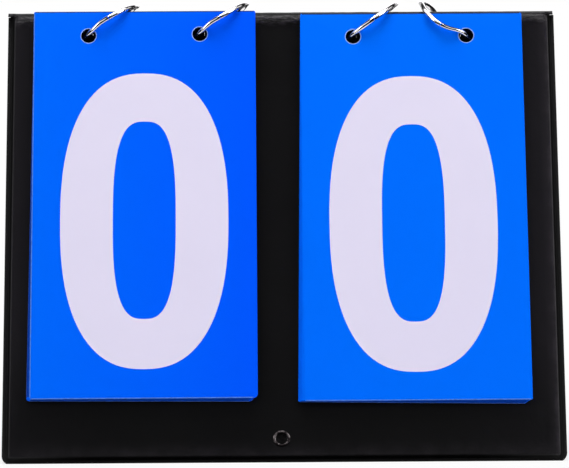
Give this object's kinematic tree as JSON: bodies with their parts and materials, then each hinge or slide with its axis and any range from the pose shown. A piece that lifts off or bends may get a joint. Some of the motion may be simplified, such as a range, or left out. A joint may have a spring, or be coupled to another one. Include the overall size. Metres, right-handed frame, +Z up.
{
  "type": "flip scoreboard",
  "caption": "Tabletop tent scoreboard: hinged black vinyl boards with two decks of flip-over number cards on chrome wire rings.",
  "frame": {"origin": "on the ground, under the middle of the spine", "axes": "+X along the spine to the viewer's right, +Y from the front board towards the back one, +Z up"},
  "size_m": [0.23, 0.1292, 0.19],
  "materials": {
    "vinyl": "semi-gloss",
    "lining": "satin",
    "board": "matte",
    "eyelet": "satin",
    "wire": "polished",
    "card": "semi-gloss"
  },
  "bodies": {
    "root": {"front_core": "board", "front_cover": "vinyl", "front_liner": "lining", "front_eyelet_1": "eyelet", "front_eyelet_2": "eyelet", "front_eyelet_3": "eyelet", "front_eyelet_4": "eyelet", "front_bottom_eyelet": "eyelet", "spine_fold": "vinyl"},
    "back_board": {"back_core": "board", "back_cover": "vinyl", "back_liner": "lining", "back_eyelet_1": "eyelet", "back_eyelet_2": "eyelet", "back_eyelet_3": "eyelet", "back_eyelet_4": "eyelet", "back_bottom_eyelet": "eyelet"},
    "ring_1": {"ring_1_bow": "wire", "ring_1_pin": "wire"},
    "gate_1": {"ring_1_gate": "wire"},
    "ring_2": {"ring_2_bow": "wire", "ring_2_pin": "wire"},
    "gate_2": {"ring_2_gate": "wire"},
    "ring_3": {"ring_3_bow": "wire", "ring_3_pin": "wire"},
    "gate_3": {"ring_3_gate": "wire"},
    "ring_4": {"ring_4_bow": "wire", "ring_4_pin": "wire"},
    "gate_4": {"ring_4_gate": "wire"},
    "left_leaf_0": {"left_card_0": "card"},
    "left_leaf_1": {"left_card_1": "card"},
    "left_leaf_2": {"left_card_2": "card"},
    "left_leaf_3": {"left_card_3": "card"},
    "left_leaf_4": {"left_card_4": "card"},
    "left_leaf_5": {"left_card_5": "card"},
    "left_leaf_6": {"left_card_6": "card"},
    "left_leaf_7": {"left_card_7": "card"},
    "left_leaf_8": {"left_card_8": "card"},
    "left_leaf_9": {"left_card_9": "card"},
    "right_leaf_0": {"right_card_0": "card"},
    "right_leaf_1": {"right_card_1": "card"},
    "right_leaf_2": {"right_card_2": "card"},
    "right_leaf_3": {"right_card_3": "card"},
    "right_leaf_4": {"right_card_4": "card"},
    "right_leaf_5": {"right_card_5": "card"},
    "right_leaf_6": {"right_card_6": "card"},
    "right_leaf_7": {"right_card_7": "card"},
    "right_leaf_8": {"right_card_8": "card"},
    "right_leaf_9": {"right_card_9": "card"}
  },
  "joints": [
    {"name": "fold", "type": "hinge", "parent": "root", "child": "back_board", "pos_m": [0, 0, 0.18408], "axis": [1, 0, 0], "range_deg": [-36, 0], "deforming": ["spine_fold"]},
    {"name": "ring_1_turn", "type": "hinge", "parent": "root", "child": "ring_1", "pos_m": [-0.07373, 0.00044, 0.18018], "axis": [0.5819, -0.0725, -0.81], "range_deg": [-12, 12]},
    {"name": "gate_1_open", "type": "hinge", "parent": "ring_1", "child": "gate_1", "pos_m": [-0.07506, 0.01521, 0.1779], "axis": [-0.5819, 0.0725, 0.81], "range_deg": [0, 20]},
    {"name": "ring_2_turn", "type": "hinge", "parent": "root", "child": "ring_2", "pos_m": [-0.02663, 0.00053, 0.18044], "axis": [0.5636, -0.0802, -0.8221], "range_deg": [-12, 12]},
    {"name": "gate_2_open", "type": "hinge", "parent": "ring_2", "child": "gate_2", "pos_m": [-0.02775, 0.01532, 0.17823], "axis": [-0.5636, 0.0802, 0.8221], "range_deg": [0, 20]},
    {"name": "ring_3_turn", "type": "hinge", "parent": "root", "child": "ring_3", "pos_m": [0.03705, 0.00028, 0.17973], "axis": [0.6134, -0.0526, -0.788], "range_deg": [-12, 12]},
    {"name": "gate_3_open", "type": "hinge", "parent": "ring_3", "child": "gate_3", "pos_m": [0.03524, 0.01498, 0.17734], "axis": [-0.6134, 0.0526, 0.788], "range_deg": [0, 20]},
    {"name": "ring_4_turn", "type": "hinge", "parent": "root", "child": "ring_4", "pos_m": [0.07112, 0.00034, 0.17946], "axis": [0.6302, 0.0629, 0.7738], "range_deg": [-12, 12]},
    {"name": "gate_4_open", "type": "hinge", "parent": "ring_4", "child": "gate_4", "pos_m": [0.07267, 0.01506, 0.177], "axis": [-0.6302, -0.0629, -0.7738], "range_deg": [0, 20]},
    {"name": "left_leaf_0_flip", "type": "hinge", "parent": "root", "child": "left_leaf_0", "pos_m": [0, 0, 0.21008], "axis": [-1, 0, 0], "range_deg": [0, 324]},
    {"name": "left_leaf_1_flip", "type": "hinge", "parent": "root", "child": "left_leaf_1", "pos_m": [0, 0, 0.21008], "axis": [-1, 0, 0], "range_deg": [0, 324]},
    {"name": "left_leaf_2_flip", "type": "hinge", "parent": "root", "child": "left_leaf_2", "pos_m": [0, 0, 0.21008], "axis": [-1, 0, 0], "range_deg": [0, 324]},
    {"name": "left_leaf_3_flip", "type": "hinge", "parent": "root", "child": "left_leaf_3", "pos_m": [0, 0, 0.21008], "axis": [-1, 0, 0], "range_deg": [0, 324]},
    {"name": "left_leaf_4_flip", "type": "hinge", "parent": "root", "child": "left_leaf_4", "pos_m": [0, 0, 0.21008], "axis": [-1, 0, 0], "range_deg": [0, 324]},
    {"name": "left_leaf_5_flip", "type": "hinge", "parent": "root", "child": "left_leaf_5", "pos_m": [0, 0, 0.21008], "axis": [-1, 0, 0], "range_deg": [0, 324]},
    {"name": "left_leaf_6_flip", "type": "hinge", "parent": "root", "child": "left_leaf_6", "pos_m": [0, 0, 0.21008], "axis": [-1, 0, 0], "range_deg": [0, 324]},
    {"name": "left_leaf_7_flip", "type": "hinge", "parent": "root", "child": "left_leaf_7", "pos_m": [0, 0, 0.21008], "axis": [-1, 0, 0], "range_deg": [0, 324]},
    {"name": "left_leaf_8_flip", "type": "hinge", "parent": "root", "child": "left_leaf_8", "pos_m": [0, 0, 0.21008], "axis": [-1, 0, 0], "range_deg": [0, 324]},
    {"name": "left_leaf_9_flip", "type": "hinge", "parent": "root", "child": "left_leaf_9", "pos_m": [0, 0, 0.21008], "axis": [-1, 0, 0], "range_deg": [0, 324]},
    {"name": "right_leaf_0_flip", "type": "hinge", "parent": "root", "child": "right_leaf_0", "pos_m": [0, 0, 0.21008], "axis": [-1, 0, 0], "range_deg": [0, 324]},
    {"name": "right_leaf_1_flip", "type": "hinge", "parent": "root", "child": "right_leaf_1", "pos_m": [0, 0, 0.21008], "axis": [-1, 0, 0], "range_deg": [0, 324]},
    {"name": "right_leaf_2_flip", "type": "hinge", "parent": "root", "child": "right_leaf_2", "pos_m": [0, 0, 0.21008], "axis": [-1, 0, 0], "range_deg": [0, 324]},
    {"name": "right_leaf_3_flip", "type": "hinge", "parent": "root", "child": "right_leaf_3", "pos_m": [0, 0, 0.21008], "axis": [-1, 0, 0], "range_deg": [0, 324]},
    {"name": "right_leaf_4_flip", "type": "hinge", "parent": "root", "child": "right_leaf_4", "pos_m": [0, 0, 0.21008], "axis": [-1, 0, 0], "range_deg": [0, 324]},
    {"name": "right_leaf_5_flip", "type": "hinge", "parent": "root", "child": "right_leaf_5", "pos_m": [0, 0, 0.21008], "axis": [-1, 0, 0], "range_deg": [0, 324]},
    {"name": "right_leaf_6_flip", "type": "hinge", "parent": "root", "child": "right_leaf_6", "pos_m": [0, 0, 0.21008], "axis": [-1, 0, 0], "range_deg": [0, 324]},
    {"name": "right_leaf_7_flip", "type": "hinge", "parent": "root", "child": "right_leaf_7", "pos_m": [0, 0, 0.21008], "axis": [-1, 0, 0], "range_deg": [0, 324]},
    {"name": "right_leaf_8_flip", "type": "hinge", "parent": "root", "child": "right_leaf_8", "pos_m": [0, 0, 0.21008], "axis": [-1, 0, 0], "range_deg": [0, 324]},
    {"name": "right_leaf_9_flip", "type": "hinge", "parent": "root", "child": "right_leaf_9", "pos_m": [0, 0, 0.21008], "axis": [-1, 0, 0], "range_deg": [0, 324]}
  ]
}
